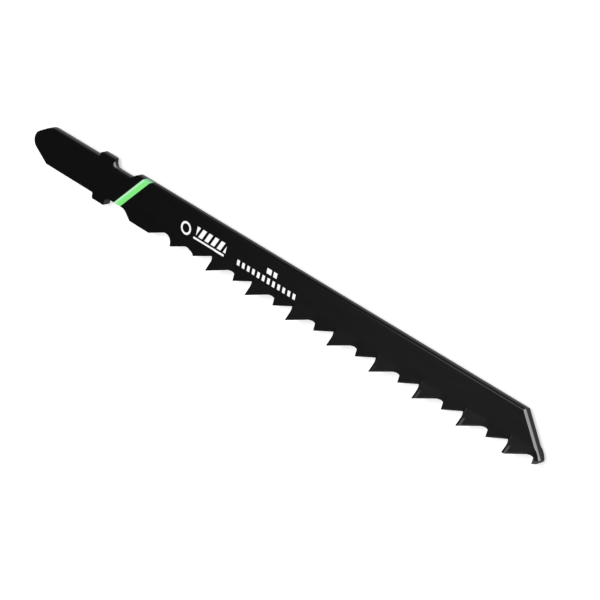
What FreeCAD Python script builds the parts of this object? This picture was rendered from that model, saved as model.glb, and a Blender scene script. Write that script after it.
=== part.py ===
import FreeCAD, Part
import Sketcher
import math
import os

# A jigsaw blade with a T-shaped shank, for coarse fast cuts in wood.
# It is one piece of hardened steel sheet: blanked to its outline, milled with teeth
# that hook towards the shank, and then set, each tooth pressed to the other side
# from the one before it.
#
# X runs along the blade from the nose of the shank to the toe, Y across it from the
# teeth (-Y) to the back (+Y), and Z through the sheet. The sketches start at the nose,
# and the finished blade is moved so that the origin is the middle of its box.
# Lengths are in millimetres and angles in degrees.

SIZES = [
    ("overall_length", 100.0, "from the nose of the shank to the toe"),
    ("sheet_thickness", 1.35, "of the steel sheet"),
    ("nose_radius", 1.6, "at the tip of the shank"),
    ("nose_angle", 31.0, "between the nose's tooth side and the shank's axis"),
    ("nose_back_angle", 34.2, "between the nose's back side and that axis"),
    ("shank_width", 5.7, "of the parallel part of the shank"),
    ("shoulder_radius", 0.5, "where the nose's tooth side meets the parallel shank"),
    ("back_shoulder_radius", 2.2, "where its back side does"),
    ("lug_start", 13.6, "from the nose to the lugs"),
    ("lug_length", 2.7, "of each lug along the shank"),
    ("lug_width", 7.5, "over both lugs"),
    ("lug_corner_radius", 0.3, "on the lugs' outer corners"),
    ("lug_root_radius", 0.2, "where the lugs leave the parallel shank"),
    ("neck_width", 4.85, "between the lugs and the body"),
    ("neck_radius", 0.85, "where the lugs run down into the neck"),
    ("back_ramp_start", 20.15, "from the nose to where the neck's back side starts to rise"),
    ("back_ramp_length", 1.2, "of the rise up to the back"),
    ("back_ramp_radius", 1.1, "at the foot of that rise"),
    ("back_ramp_top_radius", 0.9, "at the top of that rise"),
    ("heel_ramp_start", 20.3, "from the nose to where the neck's tooth side starts to widen"),
    ("heel_ramp_length", 1.5, "of that widening"),
    ("heel_ramp_radius", 1.5, "at the foot of the widening"),
    ("heel_corner_radius", 0.3, "at the heel's corner"),
    ("back_height", 3.47, "from the shank's axis to the back"),
    ("heel_depth", 3.7, "from the shank's axis to the plain edge ahead of the teeth"),
    ("tip_depth", 3.5, "from the shank's axis to the tips of the hooked teeth"),
    ("lead_tip_depth", 3.3, "the same for the second tooth, which is shorter"),
    ("end_tip_depth", 3.3, "the same for the last two"),
    ("teeth_start", 37.0, "least length from the nose to the first fully hooked tooth's tip"),
    ("toe_land", 1.5, "of blade past the last tip"),
    ("tooth_pitch", 4.0, "from tip to tip"),
    ("first_shift", 0.15, "by which the first tooth's front lies further ahead than the pitch"),
    ("second_shift", 0.25, "by which the second tooth's front lies behind its tip"),
    ("entry_length", 4.55, "of the shallow gullet ahead of the first tooth"),
    ("lead_gullet_radius", 1.15, "in the two shallow gullets"),
    ("rake_angle", 13.5, "by which a tooth's front leans over its gullet"),
    ("flank_angle", 25.8, "of a tooth's long back"),
    ("end_flank_angle", 33.0, "of the last tooth's short back"),
    ("tip_land", 0.12, "flat left at each tip"),
    ("gullet_radius", 0.45, "in the hooked teeth's gullets"),
    ("tooth_set", 0.8, "by which a tip stands out of the sheet's plane, each side"),
    ("lead_set", 0.35, "the same for the second tooth"),
    ("set_depth", 3.4, "from the tips to where the bend starts"),
    ("set_radius", 2.5, "of the bend"),
    ("set_change", 0.6, "of length over which one side's bend turns into the other's"),
    ("toe_angle", 51.5, "between the toe's end and the blade's axis"),
    ("toe_radius", 0.45, "at the toe's lower corner"),
    ("edge_radius", 0.14, "rounding that blanking leaves along the edges"),
    ("overcut", 1.0, "by which a cut runs past what it cuts"),
]

doc = FreeCAD.newDocument("jigsaw_blade")
sheet = doc.addObject("Spreadsheet::Sheet", "Sizes")
for row, (name, value, note) in enumerate(SIZES, start=1):
    sheet.set(f"A{row}", name)
    sheet.set(f"B{row}", str(value))
    sheet.set(f"C{row}", note)
    sheet.setAlias(f"B{row}", name)
doc.recompute()


def size(formula):
    """Work out a formula in the sheet's names, such as 'Sizes.lug_width / 2'."""
    value = sheet.evalExpression(formula)
    return float(getattr(value, "Value", value))


# Places that several features share, as formulas in the sheet's names
HALF_SHANK = "Sizes.shank_width / 2"
HALF_LUG = "Sizes.lug_width / 2"
HALF_NECK = "Sizes.neck_width / 2"
LUG_END = "Sizes.lug_start + Sizes.lug_length"

# Where the nose's two sides would meet on the shank's axis, so that its round tip is at zero
NOSE_POINT = (
    "Sizes.nose_radius * (1 - cos((Sizes.nose_back_angle - Sizes.nose_angle) / 2)"
    " / sin((Sizes.nose_back_angle + Sizes.nose_angle) / 2))"
)

# The hooked teeth stand at the pitch back from the toe, as many as the length holds
LAST_TIP = "Sizes.overall_length - Sizes.toe_land"
HOOKED_TEETH = f"floor(({LAST_TIP} - Sizes.teeth_start) / Sizes.tooth_pitch) + 1"
FIRST_HOOK = f"({LAST_TIP} - ({HOOKED_TEETH} - 1) * Sizes.tooth_pitch)"
LAST_FLANK = f"{LAST_TIP} + Sizes.tip_land"
END_STEP = f"{LAST_TIP} - 1.5 * Sizes.tooth_pitch"

# The two lead teeth, each at its front, and the shallow gullets ahead of them
SECOND_TIP = f"({FIRST_HOOK} - Sizes.tooth_pitch)"
SECOND_FRONT = f"({SECOND_TIP} + Sizes.second_shift)"
FIRST_FRONT = f"({SECOND_TIP} - Sizes.tooth_pitch - Sizes.first_shift)"
ENTRY_START = f"({FIRST_FRONT} - Sizes.entry_length)"
LEAD_STEP = f"{SECOND_TIP} + 0.5 * Sizes.tooth_pitch"

# The toe's lower corner is an arc that just reaches the overall length. The toe's sloping
# end and the last tooth's back are both tangent to it, and would meet at the toe corner.
TOE_ARC_X = "Sizes.overall_length - Sizes.toe_radius"
TOE_ARC_Y = (
    f"-Sizes.end_tip_depth + ({TOE_ARC_X} - ({LAST_FLANK})) * tan(Sizes.end_flank_angle)"
    " + Sizes.toe_radius / cos(Sizes.end_flank_angle)"
)
TOE_LINE_X = f"{TOE_ARC_X} + Sizes.toe_radius / sin(Sizes.toe_angle)"
TOE_CORNER_X = (
    f"(({TOE_LINE_X}) * tan(Sizes.toe_angle) + ({TOE_ARC_Y}) + Sizes.end_tip_depth"
    f" + ({LAST_FLANK}) * tan(Sizes.end_flank_angle))"
    " / (tan(Sizes.toe_angle) + tan(Sizes.end_flank_angle))"
)
TOE_CORNER_Y = f"-Sizes.end_tip_depth + (({TOE_CORNER_X}) - ({LAST_FLANK})) * tan(Sizes.end_flank_angle)"

# The bend starts on a line above the gullets. The flat sheet and the toothed strip join along
# it, and along a line ahead of the second tooth that leans as the teeth's fronts do.
BEND_Y = "-Sizes.tip_depth + Sizes.set_depth"
STRIP_START = f"{SECOND_TIP} - Sizes.set_change"


def toe_x(height):
    """Give the X of the toe's sloping end at a height, both as formulas."""
    return f"{TOE_LINE_X} - (({height}) - ({TOE_ARC_Y})) / tan(Sizes.toe_angle)"


def strip_start_x(height):
    """Give the X of the toothed strip's leaning start at a height, both as formulas."""
    return f"{STRIP_START} + (({height}) + Sizes.tip_depth) * tan(Sizes.rake_angle)"


def plan_sketch(body, name):
    """Start an empty sketch on the body's own XY plane."""
    sketch = body.newObject("Sketcher::SketchObject", name)
    plane = [feature for feature in body.Origin.OriginFeatures if feature.Role == "XY_Plane"][0]
    sketch.AttachmentSupport = [(plane, "")]
    sketch.MapMode = "FlatFace"
    return sketch


def bind(sketch, constraint, formula):
    """Add a constraint and tie its value to a formula in the sheet's names."""
    index = sketch.addConstraint(constraint)
    sketch.setExpression(f"Constraints[{index}]", formula)


def pin_point(sketch, line, end, x_formula, y_formula):
    """Fix one end of a line at a place given by two formulas."""
    bind(sketch, Sketcher.Constraint("DistanceX", -1, 1, line, end, size(x_formula)), x_formula)
    bind(sketch, Sketcher.Constraint("DistanceY", -1, 1, line, end, size(y_formula)), y_formula)


def outline_sketch(body, name, corners):
    """Draw a closed outline through corners, each given by two formulas."""
    sketch = plan_sketch(body, name)
    points = [FreeCAD.Vector(size(x), size(y), 0) for x, y in corners]
    ends = points[1:] + points[:1]
    sketch.addGeometry([Part.LineSegment(a, b) for a, b in zip(points, ends)], False)
    for line, (x_formula, y_formula) in enumerate(corners):
        following = (line + 1) % len(corners)
        sketch.addConstraint(Sketcher.Constraint("Coincident", line, 2, following, 1))
        pin_point(sketch, line, 1, x_formula, y_formula)
    return sketch


def pad_both_ways(body, sketch, name, height):
    """Raise a sketch by half a height to each side of the sheet's middle plane."""
    pad = body.newObject("PartDesign::Pad", name)
    pad.Profile = sketch
    pad.SideType = "Symmetric"
    pad.setExpression("Length", height)
    doc.recompute()
    return pad


def mill_gullet(body, name, back, front, lean, radius_name):
    """Cut one gullet right through: a tooth's back, an arc, and the next tooth's front.

    The back rises at the flank angle from the place back. The front stands at the place front
    and leans over the gullet. The cutter runs out below the tips by the overcut.
    """
    sketch = plan_sketch(body, f"{name}Sketch")
    back_x = f"({back[0]}) - Sizes.overcut / tan(Sizes.flank_angle)"
    back_y = f"({back[1]}) - Sizes.overcut"
    front_x = f"({front[0]}) - Sizes.overcut * tan({lean})"
    front_y = f"({front[1]}) - Sizes.overcut"
    radius_formula = f"Sizes.{radius_name}"
    radius = size(radius_formula)
    flank = math.radians(size("Sizes.flank_angle"))
    rake = math.radians(size(lean))
    start = FreeCAD.Vector(size(back_x), size(back_y), 0)
    end = FreeCAD.Vector(size(front_x), size(front_y), 0)
    # the arc's centre lies one radius from both lines
    rise = start.y - radius / math.cos(flank) - start.x * math.tan(flank)
    run = end.x - radius / math.cos(rake) - end.y * math.tan(rake)
    centre_y = (rise + run * math.tan(flank)) / (1 - math.tan(rake) * math.tan(flank))
    centre = FreeCAD.Vector(run + centre_y * math.tan(rake), centre_y, 0)
    circle = Part.Circle(centre, FreeCAD.Vector(0, 0, 1), radius)
    arc = Part.ArcOfCircle(circle, -rake, math.pi / 2 + flank)
    sketch.addGeometry([
        Part.LineSegment(start, arc.EndPoint),
        arc,
        Part.LineSegment(end, arc.StartPoint),
        Part.LineSegment(end, start),
    ], False)
    sketch.addConstraint([
        Sketcher.Constraint("Tangent", 0, 2, 1, 2),
        Sketcher.Constraint("Tangent", 1, 1, 2, 2),
        Sketcher.Constraint("Coincident", 2, 1, 3, 1),
        Sketcher.Constraint("Coincident", 3, 2, 0, 1),
    ])
    bind(sketch, Sketcher.Constraint("Radius", 1, radius), radius_formula)
    bind(sketch, Sketcher.Constraint("Angle", 0, flank), "Sizes.flank_angle")
    bind(sketch, Sketcher.Constraint("Angle", 2, math.pi / 2 - rake), f"90 - {lean}")
    pin_point(sketch, 0, 1, back_x, back_y)
    pin_point(sketch, 2, 1, front_x, front_y)

    before = body.Shape.Volume
    cut = body.newObject("PartDesign::Pocket", name)
    cut.Profile = sketch
    cut.SideType = "Symmetric"
    cut.Type = "ThroughAll"
    doc.recompute()
    if not body.Shape.Volume < before:
        raise RuntimeError(f"{name} cut nothing")
    return cut


def mill_second_gullet(body):
    """Cut the shallow gullet whose arc runs out as the second tooth's front."""
    return mill_gullet(
        body, "SecondGullet",
        (f"{FIRST_FRONT} + Sizes.tip_land", "-Sizes.heel_depth"),
        (SECOND_FRONT, "-Sizes.heel_depth"),
        "0", "lead_gullet_radius",
    )


def round_corners(body, name, radius_name, corners):
    """Round the upright edges that stand at corners of the outline, given by formulas."""
    base = body.Tip
    places = [(size(x), size(y)) for x, y in corners]
    edges = []
    for number, edge in enumerate(base.Shape.Edges, start=1):
        ends = [vertex.Point for vertex in edge.Vertexes]
        if any(all(math.dist((end.x, end.y), place) < 1e-4 for end in ends) for place in places):
            edges.append(f"Edge{number}")
    fillet = body.newObject("PartDesign::Fillet", name)
    fillet.Base = (base, edges)
    fillet.setExpression("Radius", f"Sizes.{radius_name}")
    doc.recompute()


def make_flat_part():
    """Make the flat part of the blade: shank, lugs, neck, body and the toe's end.

    It is blanked to its outline, which leaves its edges rounded, and stops where the toothed
    strip starts.
    """
    nose = (NOSE_POINT, "0")
    nose_back_end = (f"{NOSE_POINT} + {HALF_SHANK} / tan(Sizes.nose_back_angle)", HALF_SHANK)
    nose_end = (f"{NOSE_POINT} + {HALF_SHANK} / tan(Sizes.nose_angle)", f"-{HALF_SHANK}")
    lug_roots = [("Sizes.lug_start", HALF_SHANK), ("Sizes.lug_start", f"-{HALF_SHANK}")]
    lug_fronts = [("Sizes.lug_start", HALF_LUG), ("Sizes.lug_start", f"-{HALF_LUG}")]
    lug_backs = [(LUG_END, HALF_LUG), (LUG_END, f"-{HALF_LUG}")]
    neck_starts = [(LUG_END, HALF_NECK), (LUG_END, f"-{HALF_NECK}")]
    back_ramp_foot = ("Sizes.back_ramp_start", HALF_NECK)
    back_ramp_top = ("Sizes.back_ramp_start + Sizes.back_ramp_length", "Sizes.back_height")
    heel_ramp_foot = ("Sizes.heel_ramp_start", f"-{HALF_NECK}")
    heel = ("Sizes.heel_ramp_start + Sizes.heel_ramp_length", "-Sizes.heel_depth")
    toe_back = (toe_x("Sizes.back_height"), "Sizes.back_height")
    toe_at_bend = (toe_x(BEND_Y), BEND_Y)
    strip_at_bend = (strip_start_x(BEND_Y), BEND_Y)
    strip_at_edge = (strip_start_x("-Sizes.heel_depth"), "-Sizes.heel_depth")

    body = doc.addObject("PartDesign::Body", "FlatPart")
    outline = outline_sketch(body, "FlatOutline", [
        nose, nose_back_end, lug_roots[0], lug_fronts[0], lug_backs[0], neck_starts[0],
        back_ramp_foot, back_ramp_top, toe_back, toe_at_bend, strip_at_bend, strip_at_edge,
        heel, heel_ramp_foot,
        neck_starts[1], lug_backs[1], lug_fronts[1], lug_roots[1], nose_end,
    ])
    pad_both_ways(body, outline, "FlatPad", "Sizes.sheet_thickness")
    round_corners(body, "NoseRound", "nose_radius", [nose])
    round_corners(body, "Shoulder", "shoulder_radius", [nose_end])
    round_corners(body, "BackShoulder", "back_shoulder_radius", [nose_back_end])
    round_corners(body, "LugRoots", "lug_root_radius", lug_roots)
    round_corners(body, "LugCorners", "lug_corner_radius", lug_fronts + lug_backs)
    round_corners(body, "NeckRounds", "neck_radius", neck_starts)
    round_corners(body, "BackRampFoot", "back_ramp_radius", [back_ramp_foot])
    round_corners(body, "BackRampTop", "back_ramp_top_radius", [back_ramp_top])
    round_corners(body, "HeelRampFoot", "heel_ramp_radius", [heel_ramp_foot])
    round_corners(body, "HeelCorner", "heel_corner_radius", [heel])
    round_blanked_edges(body)
    mill_gullet(
        body, "EntryGullet",
        (ENTRY_START, "-Sizes.heel_depth"), (FIRST_FRONT, "-Sizes.heel_depth"),
        "0", "lead_gullet_radius",
    )
    mill_second_gullet(body)
    return body


def round_blanked_edges(body):
    """Round both faces' edges, but for the toe's end and the lines where the strip joins."""
    base = body.Tip
    half = size("Sizes.sheet_thickness") / 2
    strip_x = size(strip_start_x("-Sizes.heel_depth"))
    edges = []
    for number, edge in enumerate(base.Shape.Edges, start=1):
        ends = [vertex.Point for vertex in edge.Vertexes]
        in_face = abs(abs(edge.CenterOfMass.z) - half) < 1e-6
        along_back = min(end.y for end in ends) > size("Sizes.back_height") - 1e-6
        before_strip = max(end.x for end in ends) < strip_x + 1e-6
        if in_face and (along_back or before_strip):
            edges.append(f"Edge{number}")
    fillet = body.newObject("PartDesign::Fillet", "BlankedEdges")
    fillet.Base = (base, edges)
    fillet.setExpression("Radius", "Sizes.edge_radius")
    doc.recompute()


def make_tooth_outline():
    """Make the toothed strip's outline, upright and taller than the set teeth reach.

    Inside gullets, the outline's lower side steps up to the shorter teeth at the row's ends.
    """
    body = doc.addObject("PartDesign::Body", "ToothOutline")
    toe_corner = (TOE_CORNER_X, TOE_CORNER_Y)
    outline = outline_sketch(body, "ToothPlan", [
        (strip_start_x(BEND_Y), BEND_Y),
        (toe_x(BEND_Y), BEND_Y),
        toe_corner,
        (LAST_FLANK, "-Sizes.end_tip_depth"),
        (END_STEP, "-Sizes.end_tip_depth"),
        (END_STEP, "-Sizes.tip_depth"),
        (LEAD_STEP, "-Sizes.tip_depth"),
        (LEAD_STEP, "-Sizes.lead_tip_depth"),
        (strip_start_x("-Sizes.lead_tip_depth"), "-Sizes.lead_tip_depth"),
    ])
    tall = "Sizes.sheet_thickness + 2 * (Sizes.tooth_set + Sizes.overcut)"
    pad_both_ways(body, outline, "ToothPad", tall)
    round_corners(body, "ToeRound", "toe_radius", [toe_corner])
    mill_second_gullet(body)
    mill_gullet(
        body, "ThirdGullet",
        (f"{SECOND_TIP} + Sizes.tip_land", "-Sizes.lead_tip_depth"),
        (FIRST_HOOK, "-Sizes.tip_depth"),
        "Sizes.rake_angle", "gullet_radius",
    )
    hooked = mill_gullet(
        body, "HookedGullet",
        (f"{FIRST_HOOK} + Sizes.tip_land", "-Sizes.tip_depth"),
        (f"{FIRST_HOOK} + Sizes.tooth_pitch", "-Sizes.tip_depth"),
        "Sizes.rake_angle", "gullet_radius",
    )
    row = body.newObject("PartDesign::LinearPattern", "HookedGullets")
    row.Originals = [hooked]
    x_axis = [feature for feature in body.Origin.OriginFeatures if feature.Role == "X_Axis"][0]
    row.Direction = (x_axis, [""])
    row.Mode = "Spacing"
    row.setExpression("Offset", "Sizes.tooth_pitch")
    row.setExpression("Occurrences", f"{HOOKED_TEETH} - 1")
    body.Tip = row
    doc.recompute()
    return body


def bend_angle(lean, depth, radius):
    """Find the angle whose arc and straight run stand out by lean over depth."""
    angle = math.atan2(lean, depth)
    for _ in range(30):
        reached = radius * (1 - math.cos(angle)) + (depth - radius * math.sin(angle)) * math.tan(angle)
        angle += (lean - reached) / depth
    return angle


def strip_section(station, lean):
    """Close one section of the set strip, cut parallel to the teeth's fronts.

    station is the section's X on the line of the tips, where the strip stands out by lean.
    Both faces leave the flat in an arc and then run straight.
    """
    tip = -size("Sizes.tip_depth")
    bend = size(BEND_Y)
    low = tip - size("Sizes.overcut")
    radius = size("Sizes.set_radius")
    slant = math.tan(math.radians(size("Sizes.rake_angle")))
    side = math.copysign(1, lean)
    # a section that leans to neither side is split as the least bent one, so that all match
    least = bend_angle(size("Sizes.lead_set"), bend - tip, radius)
    angle = bend_angle(abs(lean), bend - tip, radius)
    arc = angle if lean else least
    heights = [bend, bend - radius * math.sin(arc / 2), bend - radius * math.sin(arc), low]
    shifts = [0.0, radius * (1 - math.cos(angle / 2)), radius * (1 - math.cos(angle))]
    shifts.append(shifts[2] + (heights[2] - low) * math.tan(angle))

    def face_edges(face):
        """Follow one face of the sheet down from the bend line."""
        top, middle, arc_end, bottom = (
            FreeCAD.Vector(station + (height - tip) * slant, height, face + side * shift)
            for height, shift in zip(heights, shifts)
        )
        bent = Part.Arc(top, middle, arc_end) if lean else Part.LineSegment(top, arc_end)
        return [bent.toShape(), Part.LineSegment(arc_end, bottom).toShape()]

    half = size("Sizes.sheet_thickness") / 2
    near = face_edges(half)
    far = face_edges(-half)
    bottom = Part.makeLine(near[1].Vertexes[-1].Point, far[1].Vertexes[-1].Point)
    top = Part.makeLine(far[0].Vertexes[0].Point, near[0].Vertexes[0].Point)
    return Part.Wire(near + [bottom] + far[::-1] + [top])


def make_set_strip():
    """Bend the toothed strip to one side and the other, tooth by tooth.

    It starts flat ahead of the second tooth, holds each tooth's set along the whole tooth and
    changes sides just ahead of the next front. It is flat again at the toe's lower corner.
    """
    lead = -size("Sizes.lead_set")
    stations = [(size(STRIP_START), 0.0), (size(SECOND_TIP), lead)]
    for number in range(int(size(HOOKED_TEETH))):
        tip_x = size(FIRST_HOOK) + number * size("Sizes.tooth_pitch")
        side = 1 if number % 2 == 0 else -1
        stations.append((tip_x - size("Sizes.set_change"), stations[-1][1]))
        stations.append((tip_x, side * size("Sizes.tooth_set")))
    stations.append((size(LAST_FLANK), stations[-1][1]))
    stations.append((size(TOE_ARC_X), 0.0))
    stations.append((size(TOE_CORNER_X) + size("Sizes.overcut"), 0.0))
    strip = doc.addObject("Part::Feature", "SetStrip")
    strip.Shape = Part.makeLoft([strip_section(x, lean) for x, lean in stations], True, True)
    return strip


def make_blade(flat_part, tooth_outline, set_strip):
    """Cut the set strip to the teeth's outline and join it to the flat part."""
    set_teeth = doc.addObject("Part::Common", "SetTeeth")
    set_teeth.Base = tooth_outline
    set_teeth.Tool = set_strip
    blade = doc.addObject("Part::Fuse", "blade")
    blade.Base = flat_part
    blade.Tool = set_teeth
    blade.Refine = True
    blade.setExpression("Placement.Base.x", "-Sizes.overall_length / 2")
    doc.recompute()
    return blade


blade = make_blade(make_flat_part(), make_tooth_outline(), make_set_strip())

failed = [item.Name for item in doc.Objects if "Invalid" in item.State or "Error" in item.State]
if failed:
    raise RuntimeError(f"failed objects: {failed}")
if blade.Shape.isNull() or not blade.Shape.isValid() or len(blade.Shape.Solids) != 1:
    raise RuntimeError("the blade is not one valid solid")

os.makedirs("parts", exist_ok=True)
blade.Shape.exportStep(f"parts/{blade.Label}.step")
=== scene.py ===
import math

import bpy
import numpy as np
from mathutils import Matrix, Quaternion, Vector


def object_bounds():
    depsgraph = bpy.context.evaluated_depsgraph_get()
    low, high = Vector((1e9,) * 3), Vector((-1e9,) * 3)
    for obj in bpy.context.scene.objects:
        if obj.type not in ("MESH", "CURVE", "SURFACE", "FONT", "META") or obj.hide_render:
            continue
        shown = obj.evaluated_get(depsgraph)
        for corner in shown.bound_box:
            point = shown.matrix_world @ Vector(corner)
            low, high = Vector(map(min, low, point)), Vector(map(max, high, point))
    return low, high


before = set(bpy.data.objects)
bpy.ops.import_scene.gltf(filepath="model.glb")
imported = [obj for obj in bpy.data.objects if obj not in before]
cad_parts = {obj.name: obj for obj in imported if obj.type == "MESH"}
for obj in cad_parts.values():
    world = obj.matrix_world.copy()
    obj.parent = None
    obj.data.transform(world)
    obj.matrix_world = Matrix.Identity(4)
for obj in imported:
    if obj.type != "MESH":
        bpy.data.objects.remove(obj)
cad_low, cad_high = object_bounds()


# The blade is one strip of hardened steel sheet, milled, set and then blackened all over.
# The toe was sheared to length last, which left half its end bright, and a band of paint
# and some plain white marks were printed on the near face.

MM = 0.001

# Places are millimetres along, across and through from the blade's middle. A "rise" is given
# by its middle and its width, and a stretch by its two ends.

# the black oxide
BLACK_AT_SHANK = (0.0055, 0.0055, 0.0056, 1)
BLACK_AT_TOE = (0.0135, 0.0135, 0.0135, 1)
GREYING = (2.0, 70.0)
STREAK_STRETCH = (0.12, 2.2, 2.2)
MATT = (0.32, 0.46)
BLACK_REFLECTION = (0.5, 0.5, 0.5, 1)

# the teeth
TIPS = -3.5
TOOTH_PITCH = 4.0
FIRST_HOOKED_TIP = -11.5
RAKE_LEAN = math.tan(math.radians(13.5))
FLANK_RISE = math.tan(math.radians(25.8))

# the walls: milled on the toothed side, blanked above it and along the shank, the blanked ones
# with a painted reflection and painted shade in their colours
MILLED_BLACK = (0.016, 0.016, 0.016, 1)
BLACK_AND_SHADE = (0.0036, 0.0036, 0.0036, 1)
BLANKED_GREYER_AT_TOE = (0.0105, 0.0105, 0.0105, 1)
TORN_GREY_AND_SHEEN = (0.125, 0.125, 0.125, 1)
BLANKED_ABOVE = (0.2, 0.4)
TOOTHED_FROM = (-24.5, 0.6)
TORN_AT = (0.0, 1.02)
BODY_TORN_DEEPER = 0.2
BODY_FROM = (-26.0, 4.0)
LUG = (-36.0, -32.5)
LUG_SIDE_SHADE = 0.22

# painted highlights and shade on the rounded edges and bent teeth, a lighter foot, and wear
LIGHTER_TOWARDS_TOE = (24.0, 36.0)
CORNER_HIGHLIGHT = (0.055, 0.055, 0.055, 1)
CORNER_FACING = (0.25, 0.93)
RIM_SHEEN_AND_LUG_WEAR = (0.038, 0.038, 0.038, 1)
RIM_SHEEN_TOWARDS_TOE = (24.0, 44.0)
RIM_HEIGHT = (-0.3, 0.16)
RIM_LENGTH = (-0.1, 3.1)
RIM_STRENGTH = 0.8
LIGHTER_TOOTH_GREY = (0.08, 0.08, 0.08, 1)
FRONT_SHADING_TOWARDS_TOE = (28.0, 26.0)
FRONT_BELOW = (-2.1, 0.7)
FRONT_SHADE_LINE = (-0.1, 0.26)
FRONT_SHEEN_IN = (0.3, 0.12)
FRONT_FADED = (0.62, 0.32)
FOOT_FROM = (48.4, 0.4)
FOOT_BELOW = (-2.8, 0.3)
FOOT_LEAN = 0.5
FOOT_LEAN_START = 48.5
RUBBED_BARE = (0.27, 0.27, 0.27, 1)
BARE_SPOT = (-33.7, 2.8, 0.15)
BARE_SPOT_SQUEEZE = (1.5, 2.3, 4.0)

# the toe's end
TOE_END_FACING = Vector((math.sin(math.radians(51.5)), math.cos(math.radians(51.5)), 0))
TOE_END_FROM = (44.0, 0.2)
SHEARED_BRIGHT = (0.285, 0.285, 0.285, 1)
SHEARED_ROUGH = (0.034, 0.034, 0.034, 1)
SHEARED_ABOVE = (0.12, 0.2)
SHEARED_GLOSS = 0.3

# the painted band leans with the blade's width, and is given by its two edges on the axis
BAND_GREEN = (0.175, 0.70, 0.17, 1)
BAND_BORDER = (0.37, 0.74, 0.41, 1)
BAND_ON_BACK = (0.22, 0.58, 0.30, 1)
BAND_LEAN = 0.806
BAND = (-29.95, -28.6)
BAND_BORDER_WIDTH = 0.42
BAND_THINS = (-0.15, 0.9)
INK_GLOSS = 0.55

# the printed marks: a ring by its centre and radii, the others along and across
PRINT_WHITE = (0.84, 0.84, 0.84, 1)
PRINT_SOFT = 0.05
RING_CENTRE = (-17.3, 0.32)
RING_RADII = (0.68, 1.0)
STROKES_ALONG, STROKES_ACROSS = (-15.2, -9.2), (0.1, 1.55)
STROKE_LEAN = 0.45
STROKE_PITCH = 1.25
RULE_ALONG, RULE_ACROSS = (-15.6, -9.4), (-0.5, -0.2)
TICKS_ALONG, TICKS_ACROSS = (-7.0, 5.0), (-0.5, 0.35)
BLOCKS_ALONG, BLOCKS_ACROSS = (-1.5, 0.8), (0.9, 1.7)
BLOCK_PITCH = 1.3


class Finish:
    """A material's nodes, added with short calls that return the socket they make."""

    def __init__(self, name):
        self.material = bpy.data.materials.new(name)
        self.material.use_nodes = True
        self.tree = self.material.node_tree
        self.surface = self.tree.nodes["Principled BSDF"]

    def add(self, kind, inputs=None, **settings):
        """Add one node, with its settings, and feed its inputs from sockets or plain values."""
        node = self.tree.nodes.new(kind)
        for name, value in settings.items():
            setattr(node, name, value)
        for key, value in (inputs or {}).items():
            if isinstance(value, bpy.types.NodeSocket):
                self.tree.links.new(value, node.inputs[key])
            else:
                node.inputs[key].default_value = value
        return node

    def math(self, operation, a, b=0.0, c=0.0):
        """Work out one sum of up to three numbers."""
        return self.add("ShaderNodeMath", {0: a, 1: b, 2: c}, operation=operation).outputs[0]

    def vector(self, operation, a, b=(0.0, 0.0, 0.0)):
        """Work out one sum of two vectors; a length or dot product is output "Value"."""
        return self.add("ShaderNodeVectorMath", {0: a, 1: b}, operation=operation).outputs

    def rise(self, value, middle, width):
        """Go smoothly from 0 to 1 as value passes middle, over a width."""
        return self.add("ShaderNodeMapRange", {
            "Value": value,
            "From Min": middle - width / 2,
            "From Max": middle + width / 2,
        }, interpolation_type="SMOOTHSTEP").outputs["Result"]

    def fall(self, value, middle, width):
        """Go smoothly from 1 to 0 there instead."""
        return self.math("SUBTRACT", 1.0, self.rise(value, middle, width))

    def inside(self, value, low, high, width):
        """Be 1 between low and high and 0 outside them, with edges of that width."""
        up = self.rise(value, low, width)
        down = self.rise(value, high, width)
        return self.math("SUBTRACT", up, down)

    def past_step(self, value, start, pitch):
        """Give how far value is past the last of the steps that start there, a pitch apart."""
        steps = self.math("DIVIDE", self.math("SUBTRACT", value, start), pitch)
        return self.math("MULTIPLY", self.math("FRACT", steps), pitch)

    def both(self, *masks):
        """Be 1 where every mask is 1: their product."""
        product = masks[0]
        for mask in masks[1:]:
            product = self.math("MULTIPLY", product, mask)
        return product

    def blend(self, mask, under, over, way="MIX"):
        """Lay one colour over another where the mask is 1."""
        node = self.add(
            "ShaderNodeMix", {"Factor": mask, 6: under, 7: over}, data_type="RGBA", blend_type=way,
        )
        return node.outputs[2]

    def level(self, mask, under, over):
        """Go from one number to another as the mask goes from 0 to 1."""
        node = self.add("ShaderNodeMix", {"Factor": mask, 2: under, 3: over}, data_type="FLOAT")
        return node.outputs[0]

    def set(self, **inputs):
        """Feed or set the surface shader's own sockets, named with _ for a space."""
        for name, value in inputs.items():
            socket = self.surface.inputs[name.replace("_", " ")]
            if isinstance(value, bpy.types.NodeSocket):
                self.tree.links.new(value, socket)
            else:
                socket.default_value = value


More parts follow.
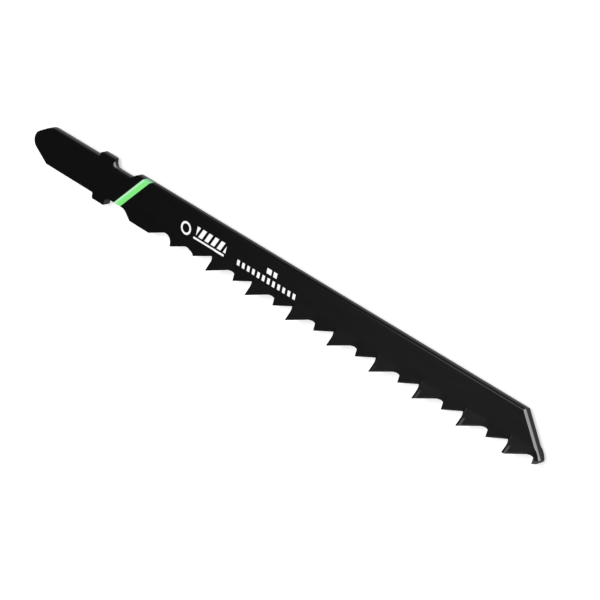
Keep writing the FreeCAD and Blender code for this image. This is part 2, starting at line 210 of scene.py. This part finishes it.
def printed_marks(steel, along, across):
    """Mask the print: a ring, slanted strokes over a rule, a row of ticks and two blocks."""
    ring_x = steel.math("SUBTRACT", along, RING_CENTRE[0])
    ring_y = steel.math("SUBTRACT", across, RING_CENTRE[1])
    reach = steel.math("MULTIPLY_ADD", ring_x, ring_x, steel.math("MULTIPLY", ring_y, ring_y))
    marks = steel.inside(steel.math("SQRT", reach), *RING_RADII, PRINT_SOFT)

    slant = steel.math("MULTIPLY_ADD", across, -STROKE_LEAN, along)
    strokes = steel.math("FRACT", steel.math("DIVIDE", slant, STROKE_PITCH))
    strokes = steel.inside(strokes, 0.2, 0.8, 0.04)
    ticks = steel.inside(steel.math("FRACT", along), 0.25, 0.75, 0.05)
    blocks = steel.math("FRACT", steel.math("DIVIDE", along, BLOCK_PITCH))
    blocks = steel.inside(blocks, 0.1, 0.8, 0.05)
    for pattern, span, height in (
        (strokes, STROKES_ALONG, STROKES_ACROSS),
        (1.0, RULE_ALONG, RULE_ACROSS),
        (ticks, TICKS_ALONG, TICKS_ACROSS),
        (blocks, BLOCKS_ALONG, BLOCKS_ACROSS),
    ):
        field = steel.both(
            steel.inside(along, *span, PRINT_SOFT), steel.inside(across, *height, PRINT_SOFT), pattern,
        )
        marks = steel.math("MAXIMUM", marks, field)
    return marks


def blackened_steel():
    """Make the blade's finish, all of it placed by millimetres along, across and through."""
    steel = Finish("blackened_steel")
    place = steel.add("ShaderNodeTexCoord").outputs
    in_mm = steel.add(
        "ShaderNodeVectorMath", {0: place["Object"], "Scale": 1 / MM}, operation="SCALE",
    ).outputs[0]
    along, across, through = steel.add("ShaderNodeSeparateXYZ", {0: in_mm}).outputs
    toeward, backward, upward = steel.add("ShaderNodeSeparateXYZ", {0: place["Normal"]}).outputs
    wall = steel.fall(steel.math("ABSOLUTE", upward), 0.5, 0.5)
    face = steel.rise(upward, 0.9, 0.15)

    # the black oxide, a little greyer towards the toe, with faint lengthwise rolling streaks
    streaks = steel.add("ShaderNodeTexNoise", {
        "Vector": steel.add("ShaderNodeMapping", {"Vector": in_mm, "Scale": STREAK_STRETCH}).outputs[0],
        "Scale": 1.6, "Detail": 3.0, "Roughness": 0.55,
    }).outputs[0]
    grain = steel.add("ShaderNodeTexNoise", {
        "Vector": in_mm, "Scale": 9.0, "Detail": 2.0, "Roughness": 0.6,
    }).outputs[0]
    colour = steel.blend(steel.rise(along, *GREYING), BLACK_AT_SHANK, BLACK_AT_TOE)
    mottle = steel.math("MULTIPLY_ADD", streaks, 0.5, 0.55)
    mottle = steel.math("MULTIPLY_ADD", grain, 0.4, mottle)
    mottle = steel.add("ShaderNodeCombineXYZ", {0: mottle, 1: mottle, 2: mottle}).outputs[0]
    colour = steel.blend(1.0, colour, mottle, way="MULTIPLY")

    # the milled walls of the teeth, and the blanked walls of the rest, darker where the punch went in
    # and lighter where the sheet tore: partly those real zones and partly a painted reflection of the
    # bright room across the back, with painted shade on its near side; the body side of the back lug
    # keeps less of the lighter part
    colour = steel.blend(wall, colour, MILLED_BLACK)
    blanked = steel.math(
        "MAXIMUM", steel.rise(across, *BLANKED_ABOVE), steel.fall(along, *TOOTHED_FROM),
    )
    depth = steel.math("MULTIPLY_ADD", steel.rise(along, *BODY_FROM), BODY_TORN_DEEPER, through)
    torn_and_sheen = steel.fall(depth, *TORN_AT)
    lug_side = steel.both(steel.rise(toeward, 0.6, 0.4), steel.inside(along, *LUG, 0.4))
    torn_and_sheen = steel.level(lug_side, torn_and_sheen, steel.math("MULTIPLY", torn_and_sheen, LUG_SIDE_SHADE))
    punched = steel.blend(steel.rise(along, *LIGHTER_TOWARDS_TOE), BLACK_AND_SHADE, BLANKED_GREYER_AT_TOE)
    punched = steel.blend(torn_and_sheen, punched, TORN_GREY_AND_SHEEN)
    colour = steel.blend(steel.both(wall, blanked), colour, punched)

    # a painted highlight on the back's rounded near corner, stronger towards the toe
    corner = steel.both(
        steel.inside(upward, *CORNER_FACING, 0.1), steel.rise(backward, 0.2, 0.2),
        steel.rise(along, *LIGHTER_TOWARDS_TOE),
    )
    colour = steel.blend(corner, colour, CORNER_HIGHLIGHT)

    # a painted highlight along the rims of the teeth's long backs near the toe, on their rounded edges
    behind_tip = steel.past_step(along, FIRST_HOOKED_TIP, TOOTH_PITCH)
    above_tips = steel.math("SUBTRACT", across, TIPS)
    above_flank = steel.math("MULTIPLY_ADD", behind_tip, -FLANK_RISE, above_tips)
    rim_highlight = steel.both(
        steel.inside(above_flank, *RIM_HEIGHT, 0.1), steel.inside(behind_tip, *RIM_LENGTH, 0.2),
        face, steel.rise(along, *RIM_SHEEN_TOWARDS_TOE),
    )
    colour = steel.blend(steel.math("MULTIPLY", rim_highlight, RIM_STRENGTH), colour, RIM_SHEEN_AND_LUG_WEAR)

    # each second tooth, the near-set ones, with painted shade along its front's edge and a painted
    # highlight in a strip behind it, on the facet that the set bent out
    leaning = steel.math("MULTIPLY_ADD", above_tips, -RAKE_LEAN, along)
    behind_front = steel.past_step(leaning, FIRST_HOOKED_TIP, 2 * TOOTH_PITCH)
    front_strip = steel.both(
        steel.fall(across, *FRONT_BELOW), face, steel.rise(along, *FRONT_SHADING_TOWARDS_TOE),
    )
    shade_line = steel.inside(behind_front, *FRONT_SHADE_LINE, 0.1)
    bend_sheen = steel.math(
        "SUBTRACT", steel.rise(behind_front, *FRONT_SHEEN_IN), steel.rise(behind_front, *FRONT_FADED),
    )
    colour = steel.blend(steel.both(shade_line, front_strip), colour, BLACK_AND_SHADE)
    colour = steel.blend(steel.both(bend_sheen, front_strip), colour, LIGHTER_TOOTH_GREY)

    # the foot under the last tooth, painted the same lighter grey
    past_foot = steel.math("SUBTRACT", along, FOOT_LEAN_START)
    above_foot = steel.math("MULTIPLY_ADD", past_foot, -FOOT_LEAN, across)
    foot = steel.both(
        steel.fall(above_foot, *FOOT_BELOW), steel.rise(along, *FOOT_FROM),
        steel.rise(upward, -0.6, 0.4),
    )
    colour = steel.blend(foot, colour, LIGHTER_TOOTH_GREY)

    # wear from the saw's clamp: a bare spot on the back lug's wall, a greyer tooth-side lug
    from_spot = steel.vector("SUBTRACT", in_mm, BARE_SPOT)[0]
    from_spot = steel.vector("MULTIPLY", from_spot, BARE_SPOT_SQUEEZE)[0]
    spot = steel.fall(steel.vector("LENGTH", from_spot)["Value"], 0.95, 0.7)
    colour = steel.blend(steel.both(spot, wall), colour, RUBBED_BARE)
    lug_wear = steel.both(
        steel.rise(toeward, 0.4, 0.4), steel.inside(along, *LUG, 0.4), steel.fall(across, 0.0, 0.4),
    )
    colour = steel.blend(lug_wear, colour, RIM_SHEEN_AND_LUG_WEAR)

    # the toe's end: sheared bright on the near side, torn rough on the far side
    toe_end = steel.vector("DOT_PRODUCT", place["Normal"], TOE_END_FACING)["Value"]
    toe_end = steel.both(steel.rise(toe_end, 0.96, 0.04), steel.rise(along, *TOE_END_FROM))
    bright = steel.both(toe_end, steel.rise(through, *SHEARED_ABOVE))
    colour = steel.blend(toe_end, colour, SHEARED_ROUGH)
    colour = steel.blend(bright, colour, SHEARED_BRIGHT)

    # the painted band over the neck, its front border paler, thinning out down the back edge
    slant = steel.math("MULTIPLY_ADD", across, -BAND_LEAN, along)
    band = steel.both(
        steel.inside(slant, *BAND, 0.08), steel.rise(through, *BAND_THINS),
        steel.rise(upward, -0.3, 0.4),
    )
    past_border = steel.rise(slant, BAND[0] + BAND_BORDER_WIDTH, 0.25)
    paint = steel.blend(past_border, BAND_BORDER, BAND_GREEN)
    paint = steel.blend(steel.rise(backward, 0.5, 0.6), paint, BAND_ON_BACK)
    colour = steel.blend(band, colour, paint)

    marks = steel.both(printed_marks(steel, along, across), face)
    colour = steel.blend(marks, colour, PRINT_WHITE)

    inked = steel.math("MAXIMUM", band, marks)
    rough = steel.level(grain, *MATT)
    rough = steel.level(bright, rough, SHEARED_GLOSS)
    rough = steel.level(inked, rough, INK_GLOSS)
    bumps = steel.math("MULTIPLY_ADD", streaks, 0.5, grain)
    bump = steel.add("ShaderNodeBump", {"Height": bumps, "Strength": 0.25, "Distance": 0.004 * MM})
    steel.set(
        Base_Color=colour, Metallic=steel.math("SUBTRACT", 1.0, inked), Roughness=rough,
        Normal=bump.outputs[0], Specular_Tint=BLACK_REFLECTION,
    )
    return steel.material


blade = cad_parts["blade"]
blade.data.materials.clear()
blade.data.materials.append(blackened_steel())


# The floor is a plain pale sheet of paper that the blade lies on, just under its lowest teeth.
# The camera sees it as white, with the blade's own soft shadow kept.

FLOOR_REACH = 1.5
FLOOR_GAP = 0.01 * MM
PAPER = (0.65, 0.65, 0.65, 1)
PAPER_GLOW = 0.5

corners = np.array([(-1, -1, 0), (1, -1, 0), (1, 1, 0), (-1, 1, 0)]) * FLOOR_REACH
corners = corners + (0, 0, cad_low.z - FLOOR_GAP)
floor_mesh = bpy.data.meshes.new("floor")
floor_mesh.from_pydata(corners.tolist(), [], [(0, 1, 2, 3)])
floor = bpy.data.objects.new("floor", floor_mesh)
bpy.context.scene.collection.objects.link(floor)

paper = Finish("pale_paper")
rays = paper.add("ShaderNodeLightPath").outputs
seen = paper.math("MAXIMUM", rays["Is Camera Ray"], rays["Is Glossy Ray"])
seen = paper.math("MAXIMUM", seen, rays["Is Transmission Ray"])
paper.set(Base_Color=PAPER, Roughness=0.9, Specular_IOR_Level=0.0)
paper.set(Emission_Color=(1, 1, 1, 1), Emission_Strength=paper.math("MULTIPLY", seen, PAPER_GLOW))
floor_mesh.materials.append(paper.material)


# The light is a white room all round, seen at full strength and shining a little less, and one
# wide soft lamp above the back of the blade.

ROOM_SHINE = 0.6
LAMP_PLACE = Vector((0.1, 0.35, 0.6))
LAMP_SIDE = 0.5
LAMP_WATTS = 4.0

world = bpy.data.worlds.new("white_room")
bpy.context.scene.world = world
world.use_nodes = True
room = world.node_tree
room_rays = room.nodes.new("ShaderNodeLightPath").outputs
seen = room_rays["Is Camera Ray"]
for ray in ("Is Glossy Ray", "Is Transmission Ray"):
    either = room.nodes.new("ShaderNodeMath")
    either.operation = "MAXIMUM"
    room.links.new(seen, either.inputs[0])
    room.links.new(room_rays[ray], either.inputs[1])
    seen = either.outputs[0]
strength = room.nodes.new("ShaderNodeMapRange")
strength.inputs["To Min"].default_value = ROOM_SHINE
strength.inputs["To Max"].default_value = 1.0
room.links.new(seen, strength.inputs["Value"])
background = room.nodes["Background"]
background.inputs["Color"].default_value = (1, 1, 1, 1)
room.links.new(strength.outputs["Result"], background.inputs["Strength"])

lamp_data = bpy.data.lights.new("soft_lamp", "AREA")
lamp_data.shape = "SQUARE"
lamp_data.size = LAMP_SIDE
lamp_data.energy = LAMP_WATTS
lamp = bpy.data.objects.new("soft_lamp", lamp_data)
lamp.location = LAMP_PLACE
lamp.rotation_euler = (-LAMP_PLACE).to_track_quat("-Z", "Y").to_euler()
bpy.context.scene.collection.objects.link(lamp)


# The camera stands a few hand widths off, above the toe's back corner, as in the photograph.

CAMERA_LENS = 180.5424
CAMERA_PLACE = (0.23796355, 0.17261619, 0.29627596)
CAMERA_TURN = Quaternion((0.90893551, -0.16342846, 0.34059519, 0.17641511))

camera_data = bpy.data.cameras.new("camera")
camera_data.sensor_width = 36.0
camera_data.lens = CAMERA_LENS
camera_data.clip_start = 0.01
camera_data.clip_end = 10.0
camera = bpy.data.objects.new("camera", camera_data)
camera.matrix_world = Matrix.Translation(CAMERA_PLACE) @ CAMERA_TURN.to_matrix().to_4x4()
bpy.context.scene.collection.objects.link(camera)
bpy.context.scene.camera = camera
bpy.context.scene.view_settings.view_transform = "Standard"
